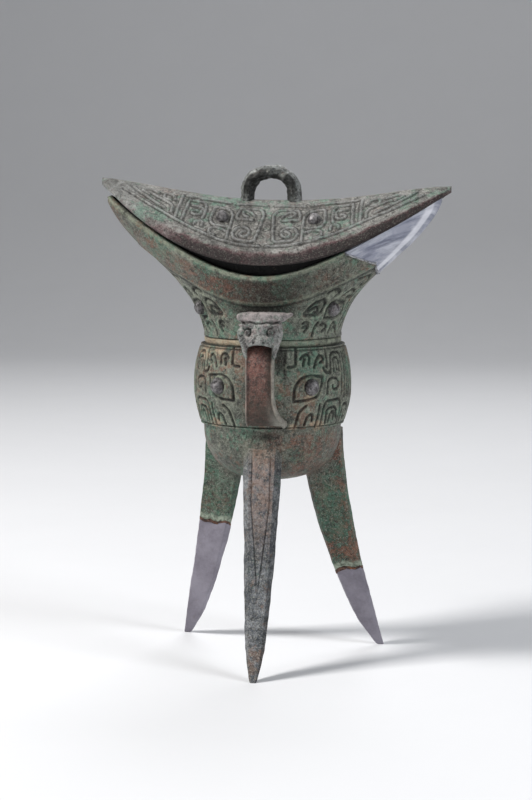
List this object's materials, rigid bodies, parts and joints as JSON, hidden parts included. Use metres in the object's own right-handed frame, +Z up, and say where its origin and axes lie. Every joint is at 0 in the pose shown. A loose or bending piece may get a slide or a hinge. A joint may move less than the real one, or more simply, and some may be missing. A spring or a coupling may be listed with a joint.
{
  "type": "bronze jue vessel",
  "caption": "Lidded bronze wine cup on splayed blade legs, with a pointed-oval mouth, an ox-head strap handle and a lift-off saddle lid with a loop.",
  "frame": {"origin": "on the floor under the cup's axis, in the plane of the feet", "axes": "+Z up along the cup's axis, -Y towards the handle and the front leg, +X towards the mended end of the mouth"},
  "size_m": [0.1592, 0.0918, 0.2258],
  "materials": {
    "patinated_bronze": "green and brown patina, matte",
    "lid_bronze": "grey-green patina, matte",
    "handle_bronze": "red-brown patina, worn",
    "repair_metal": "bright, streaked",
    "solder": "dull",
    "leg_tip_resin": "matte",
    "joint_filler": "chalky",
    "dowel_metal": "plain rod"
  },
  "bodies": {
    "vessel": {"cup_shell": "patinated_bronze", "mouth_end_repair": "repair_metal", "mouth_repair_seam": "solder", "handle_strap": "handle_bronze", "handle_ox_head": "handle_bronze", "front_leg": "patinated_bronze", "left_leg_stump": "patinated_bronze", "left_leg_filler": "joint_filler", "left_leg_tip_repair": "leg_tip_resin", "left_leg_dowel": "dowel_metal", "right_leg_stump": "patinated_bronze", "right_leg_filler": "joint_filler", "right_leg_tip_repair": "leg_tip_resin", "right_leg_dowel": "dowel_metal", "belly_eye_bosses": "patinated_bronze", "neck_eye_bosses": "patinated_bronze"},
    "lid": {"lid_shell": "lid_bronze", "lid_inner_flange": "lid_bronze", "lid_loop": "lid_bronze", "lid_eye_bosses": "lid_bronze"}
  },
  "joints": [
    {"name": "lid_lift", "type": "slide", "parent": "vessel", "child": "lid", "axis": [0, 0, 1], "range_m": [0, 0.06]}
  ]
}
